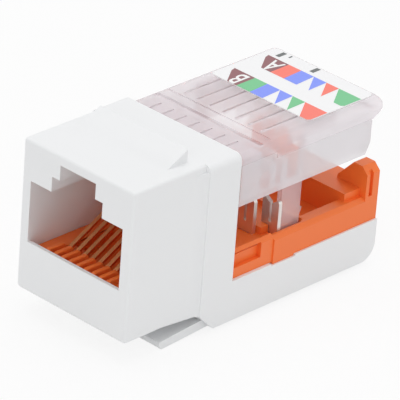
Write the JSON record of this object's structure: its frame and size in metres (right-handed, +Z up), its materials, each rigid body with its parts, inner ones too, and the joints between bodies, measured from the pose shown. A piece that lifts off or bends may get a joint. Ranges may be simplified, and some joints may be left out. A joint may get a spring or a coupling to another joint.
{
  "type": "keystone jack",
  "caption": "Keystone jack for structured cabling: white snap-in housing with a modular port, an orange wire-terminal base and a clear press-down wire cap.",
  "frame": {"origin": "middle of the port's mouth, on the front face", "axes": "+X to the right seen from the front, +Y from the front face to the cable end, +Z up, away from the spring tongue"},
  "size_m": [0.016, 0.0346, 0.0199],
  "materials": {
    "white_plastic": "satin",
    "orange_plastic": "satin",
    "clear_plastic": "clear, slightly frosted",
    "label_paper": "matt",
    "board_green": "solder mask",
    "contact_gold": "plated",
    "blade_tin": "tin plated"
  },
  "bodies": {
    "jack": {"housing": "white_plastic", "contact_carrier": "orange_plastic", "terminal_base": "orange_plastic", "circuit_board": "board_green", "contact_1": "contact_gold", "contact_2": "contact_gold", "contact_3": "contact_gold", "contact_4": "contact_gold", "contact_5": "contact_gold", "contact_6": "contact_gold", "contact_7": "contact_gold", "contact_8": "contact_gold", "idc_blade_1": "blade_tin", "idc_blade_2": "blade_tin", "idc_blade_3": "blade_tin", "idc_blade_4": "blade_tin", "idc_blade_5": "blade_tin", "idc_blade_6": "blade_tin", "idc_blade_7": "blade_tin", "idc_blade_8": "blade_tin"},
    "cap": {"wire_cap": "clear_plastic", "cap_label": "label_paper"}
  },
  "joints": [
    {"name": "cap_press", "type": "slide", "parent": "jack", "child": "cap", "axis": [0, 0, -1], "range_m": [0, 0.0045]}
  ]
}
